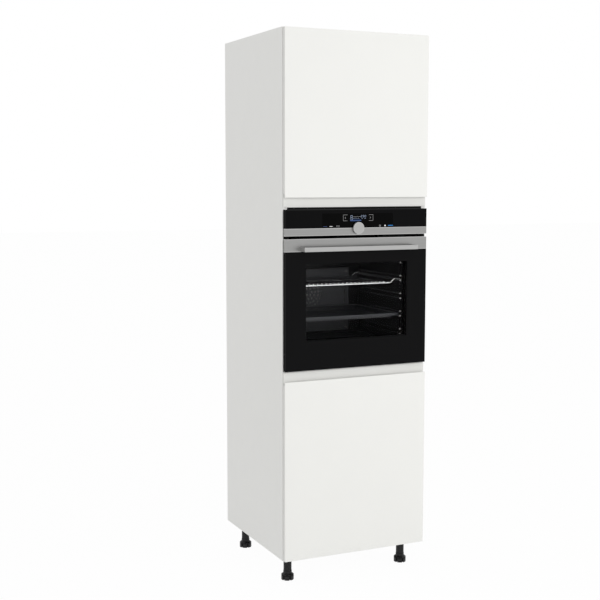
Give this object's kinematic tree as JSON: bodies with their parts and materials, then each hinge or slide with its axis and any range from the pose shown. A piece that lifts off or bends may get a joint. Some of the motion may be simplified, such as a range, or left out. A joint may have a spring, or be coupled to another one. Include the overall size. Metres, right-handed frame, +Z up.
{
  "type": "tall oven housing unit",
  "caption": "Tall white kitchen cabinet on levelling feet with a built-in oven between a lower and an upper cupboard behind handleless doors.",
  "frame": {"origin": "middle of the bounding box at floor level", "axes": "+Z up, +X to the user's right when facing the doors, -Y towards the user"},
  "size_m": [0.6, 0.628, 2.064],
  "materials": {
    "carcass_board": "satin white melamine",
    "back_board": "matt white coated fibreboard",
    "door_gloss": "high gloss white lacquer",
    "fitting_zinc": "nickel-plated zinc and steel",
    "beech_dowel": "plain beech",
    "black_plastic": "moulded black plastic",
    "clear_silicone": "clear silicone",
    "galvanised_sheet": "galvanised sheet",
    "cavity_enamel": "dark grey vitreous enamel",
    "seal_rubber": "woven black seal",
    "mineral_wool": "mineral wool blanket",
    "chrome_wire": "bright chrome plate",
    "heater_tube": "oxidised steel tube",
    "stainless": "horizontally brushed",
    "fascia_black": "black backed glass",
    "door_glass": "dark tinted glass",
    "clear_glass": "clear float glass",
    "knob_metal": "fine satin",
    "motor_steel": "plain",
    "display": "dark display"
  },
  "bodies": {
    "cabinet": {"side_left": "carcass_board", "side_right": "carcass_board", "top_panel": "carcass_board", "bottom_panel": "carcass_board", "shelf_under_oven": "carcass_board", "shelf_over_oven": "carcass_board", "back_lower": "back_board", "back_upper": "back_board", "lower_shelf": "carcass_board", "upper_shelf": "carcass_board", "shelf_pins": "fitting_zinc", "cam_fittings": "fitting_zinc", "dowels": "beech_dowel", "wall_brackets": "fitting_zinc", "wood_screws": "fitting_zinc", "leg_front_left": "black_plastic", "leg_front_right": "black_plastic", "leg_back_left": "black_plastic", "leg_back_right": "black_plastic", "hinge_arms": "fitting_zinc", "hinge_plates": "fitting_zinc", "door_bumpers": "clear_silicone", "oven_casing": "galvanised_sheet", "oven_fixing_screws": "fitting_zinc", "oven_cavity": "cavity_enamel", "oven_door_seal": "seal_rubber", "oven_insulation": "mineral_wool", "rack_rails": "chrome_wire", "fan_cover": "cavity_enamel", "fan_motor": "motor_steel", "ring_heater": "heater_tube", "grill_heater": "heater_tube", "oven_lamp": "clear_glass", "cooling_blower": "galvanised_sheet", "mains_terminal": "black_plastic", "fascia_glass": "fascia_black", "fascia_strip": "stainless", "control_housing": "black_plastic", "display_module": "display", "knob_switch": "black_plastic", "oven_door_hinges": "fitting_zinc"},
    "lower_door": {"lower_door": "door_gloss", "lower_hinge_cups": "fitting_zinc"},
    "upper_door": {"upper_door": "door_gloss", "upper_hinge_cups": "fitting_zinc"},
    "oven_door": {"oven_door_frame": "cavity_enamel", "oven_door_glass": "door_glass", "oven_door_strip": "stainless", "oven_door_middle_glass": "clear_glass", "oven_door_inner_glass": "clear_glass", "oven_handle": "stainless"},
    "control_knob": {"control_knob": "knob_metal"},
    "fan_wheel": {"fan_wheel": "motor_steel"},
    "blower_roller": {"blower_roller": "black_plastic"},
    "wire_rack": {"wire_rack": "chrome_wire"},
    "baking_tray": {"baking_tray": "cavity_enamel"},
    "foot_front_left": {"foot_front_left": "black_plastic"},
    "foot_front_right": {"foot_front_right": "black_plastic"},
    "foot_back_left": {"foot_back_left": "black_plastic"},
    "foot_back_right": {"foot_back_right": "black_plastic"}
  },
  "joints": [
    {"name": "lower_door_hinge", "type": "hinge", "parent": "cabinet", "child": "lower_door", "pos_m": [0.298, -0.2716, 0.45675], "axis": [0, 0, 1], "range_deg": [0, 105]},
    {"name": "upper_door_hinge", "type": "hinge", "parent": "cabinet", "child": "upper_door", "pos_m": [0.298, -0.2716, 1.74125], "axis": [0, 0, 1], "range_deg": [0, 105]},
    {"name": "oven_door_hinge", "type": "hinge", "parent": "cabinet", "child": "oven_door", "pos_m": [0, -0.263, 0.825], "axis": [1, 0, 0], "range_deg": [0, 90]},
    {"name": "knob_turn", "type": "hinge", "parent": "cabinet", "child": "control_knob", "pos_m": [0, -0.273, 1.3416], "axis": [0, -1, 0], "continuous": true},
    {"name": "fan_spin", "type": "hinge", "parent": "cabinet", "child": "fan_wheel", "pos_m": [0, 0.178, 1.064], "axis": [0, -1, 0], "continuous": true},
    {"name": "blower_spin", "type": "hinge", "parent": "cabinet", "child": "blower_roller", "pos_m": [0, -0.088, 1.288], "axis": [1, 0, 0], "continuous": true},
    {"name": "rack_slide", "type": "slide", "parent": "cabinet", "child": "wire_rack", "axis": [0, -1, 0], "range_m": [0, 0.3]},
    {"name": "tray_slide", "type": "slide", "parent": "cabinet", "child": "baking_tray", "axis": [0, -1, 0], "range_m": [0, 0.2]},
    {"name": "foot_front_left_screw", "type": "hinge", "parent": "cabinet", "child": "foot_front_left", "pos_m": [-0.247, -0.18, 0.017], "axis": [0, 0, 1], "continuous": true},
    {"name": "foot_front_right_screw", "type": "hinge", "parent": "cabinet", "child": "foot_front_right", "pos_m": [0.247, -0.18, 0.017], "axis": [0, 0, 1], "continuous": true},
    {"name": "foot_back_left_screw", "type": "hinge", "parent": "cabinet", "child": "foot_back_left", "pos_m": [-0.247, 0.246, 0.017], "axis": [0, 0, 1], "continuous": true},
    {"name": "foot_back_right_screw", "type": "hinge", "parent": "cabinet", "child": "foot_back_right", "pos_m": [0.247, 0.246, 0.017], "axis": [0, 0, 1], "continuous": true}
  ],
  "couplings": [
    {"joint": "rack_slide", "follows": "oven_door_hinge", "m_per_rad": 0.19},
    {"joint": "tray_slide", "follows": "oven_door_hinge", "m_per_rad": 0.12}
  ]
}
